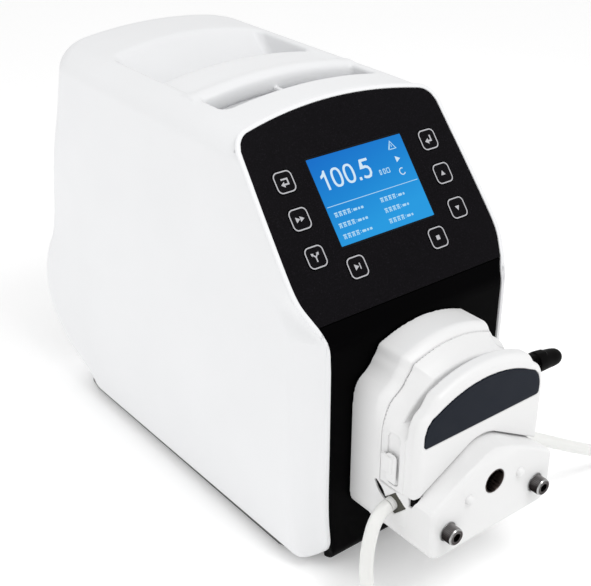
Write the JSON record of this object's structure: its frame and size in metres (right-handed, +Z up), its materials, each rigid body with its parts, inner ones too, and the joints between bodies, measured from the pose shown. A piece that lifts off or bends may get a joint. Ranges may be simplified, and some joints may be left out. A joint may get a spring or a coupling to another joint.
{
  "type": "peristaltic pump",
  "caption": "Bench peristaltic pump: sloping-console drive case with carrying handle, keypad and display, and a roller head with a cam lever clamping flexible tubing.",
  "frame": {"origin": "centre of the object's footprint without the free tubing, on the table under its feet", "axes": "+Z up, -Y to the front (the pump head and console), +X to the pump's right as its front is faced"},
  "size_m": [0.3224, 0.515, 0.2665],
  "materials": {
    "white_abs": "satin moulded ABS",
    "black_abs": "satin black",
    "lcd": "lit backlight behind a clear lens",
    "navy_label": "printed film",
    "steel": "ground",
    "zinc_sheet": "zinc-plated sheet",
    "board": "solder mask",
    "foot_rubber": "matt",
    "silicone": "translucent silicone",
    "nylon": "natural nylon",
    "clip_dark": "dark grip insert",
    "black_steel": "black",
    "screw_steel": "socket cap screw"
  },
  "bodies": {
    "case": {"base_plate": "black_steel", "block_plug_left": "white_abs", "block_plug_right": "white_abs", "case_shell": "white_abs", "control_panel": "black_abs", "display_module": "steel", "display_window": "lcd", "driver_board": "board", "fan_frame": "black_abs", "fan_guard": "steel", "foot_front_left": "foot_rubber", "foot_front_right": "foot_rubber", "foot_rear_left": "foot_rubber", "foot_rear_right": "foot_rubber", "front_bearing": "steel", "head_base": "white_abs", "head_screw_left": "screw_steel", "head_screw_right": "screw_steel", "keypad_board": "board", "lever_pin": "steel", "lower_front_cover": "black_abs", "motor_body": "black_steel", "motor_bracket": "zinc_sheet", "power_inlet": "black_abs", "power_supply": "zinc_sheet", "rear_bearing": "steel", "rear_panel": "zinc_sheet", "switch_frame": "black_abs", "tube_clip_left": "clip_dark", "tube_clip_right": "clip_dark", "tube_coil_left": "silicone", "tube_coil_right": "silicone", "tube_in_head": "silicone", "tube_tail_left": "silicone", "tube_tail_right": "silicone"},
    "key_back": {"key_back": "black_abs"},
    "key_fast": {"key_fast": "black_abs"},
    "key_branch": {"key_branch": "black_abs"},
    "key_start": {"key_start": "black_abs"},
    "key_enter": {"key_enter": "black_abs"},
    "key_up": {"key_up": "black_abs"},
    "key_down": {"key_down": "black_abs"},
    "key_stop": {"key_stop": "black_abs"},
    "power_switch": {"power_switch": "black_abs"},
    "fan_rotor": {"fan_rotor": "black_abs"},
    "rotor": {"rotor_hub": "nylon", "rotor_shaft": "steel", "roller_pin_1": "steel", "roller_pin_2": "steel", "roller_pin_3": "steel", "drive_coupling": "black_steel", "motor_shaft": "steel"},
    "roller_1": {"roller_1": "steel"},
    "roller_2": {"roller_2": "steel"},
    "roller_3": {"roller_3": "steel"},
    "jaw": {"head_jaw": "white_abs", "label_plate": "navy_label"},
    "lever": {"lever": "black_abs"},
    "retainer_left": {"tube_retainer_left": "white_abs"},
    "retainer_right": {"tube_retainer_right": "white_abs"}
  },
  "joints": [
    {"name": "key_back_press", "type": "slide", "parent": "case", "child": "key_back", "axis": [0, 0.7815, -0.6239], "range_m": [0, 0.0005], "stiffness_N_per_m": 500},
    {"name": "key_fast_press", "type": "slide", "parent": "case", "child": "key_fast", "axis": [0, 0.7815, -0.6239], "range_m": [0, 0.0005], "stiffness_N_per_m": 500},
    {"name": "key_branch_press", "type": "slide", "parent": "case", "child": "key_branch", "axis": [0, 0.7815, -0.6239], "range_m": [0, 0.0005], "stiffness_N_per_m": 500},
    {"name": "key_start_press", "type": "slide", "parent": "case", "child": "key_start", "axis": [0, 0.7815, -0.6239], "range_m": [0, 0.0005], "stiffness_N_per_m": 500},
    {"name": "key_enter_press", "type": "slide", "parent": "case", "child": "key_enter", "axis": [0, 0.7815, -0.6239], "range_m": [0, 0.0005], "stiffness_N_per_m": 500},
    {"name": "key_up_press", "type": "slide", "parent": "case", "child": "key_up", "axis": [0, 0.7815, -0.6239], "range_m": [0, 0.0005], "stiffness_N_per_m": 500},
    {"name": "key_down_press", "type": "slide", "parent": "case", "child": "key_down", "axis": [0, 0.7815, -0.6239], "range_m": [0, 0.0005], "stiffness_N_per_m": 500},
    {"name": "key_stop_press", "type": "slide", "parent": "case", "child": "key_stop", "axis": [0, 0.7815, -0.6239], "range_m": [0, 0.0005], "stiffness_N_per_m": 500},
    {"name": "power_switch_rock", "type": "hinge", "parent": "case", "child": "power_switch", "pos_m": [0.033, 0.1745, 0.069], "axis": [-1, 0, 0], "range_deg": [0, 12]},
    {"name": "fan_spin", "type": "hinge", "parent": "case", "child": "fan_rotor", "pos_m": [-0.024, 0.169, 0.067], "axis": [0, 1, 0], "continuous": true},
    {"name": "rotor_spin", "type": "hinge", "parent": "case", "child": "rotor", "pos_m": [0, -0.166, 0.0785], "axis": [0, 1, 0], "continuous": true},
    {"name": "roller_1_spin", "type": "hinge", "parent": "rotor", "child": "roller_1", "pos_m": [0, -0.166, 0.0975], "axis": [0, 1, 0], "continuous": true},
    {"name": "roller_2_spin", "type": "hinge", "parent": "rotor", "child": "roller_2", "pos_m": [-0.01645, -0.166, 0.069], "axis": [0, 1, 0], "continuous": true},
    {"name": "roller_3_spin", "type": "hinge", "parent": "rotor", "child": "roller_3", "pos_m": [0.01645, -0.166, 0.069], "axis": [0, 1, 0], "continuous": true},
    {"name": "lever_turn", "type": "hinge", "parent": "case", "child": "lever", "pos_m": [0, -0.1708, 0.13], "axis": [0, -1, 0], "range_deg": [0, 180.1]},
    {"name": "jaw_lift", "type": "slide", "parent": "case", "child": "jaw", "axis": [0, 0, 1], "range_m": [0, 0.007]},
    {"name": "retainer_left_slide", "type": "slide", "parent": "jaw", "child": "retainer_left", "axis": [0, 0, 1], "range_m": [-0.009, 0.008]},
    {"name": "retainer_right_slide", "type": "slide", "parent": "jaw", "child": "retainer_right", "axis": [0, 0, 1], "range_m": [-0.009, 0.008]}
  ],
  "couplings": [
    {"joint": "roller_1_spin", "follows": "rotor_spin", "ratio": -3.41},
    {"joint": "roller_2_spin", "follows": "rotor_spin", "ratio": -3.41},
    {"joint": "roller_3_spin", "follows": "rotor_spin", "ratio": -3.41},
    {"joint": "lever_turn", "follows": "jaw_lift", "rad_per_m": 448.8}
  ]
}
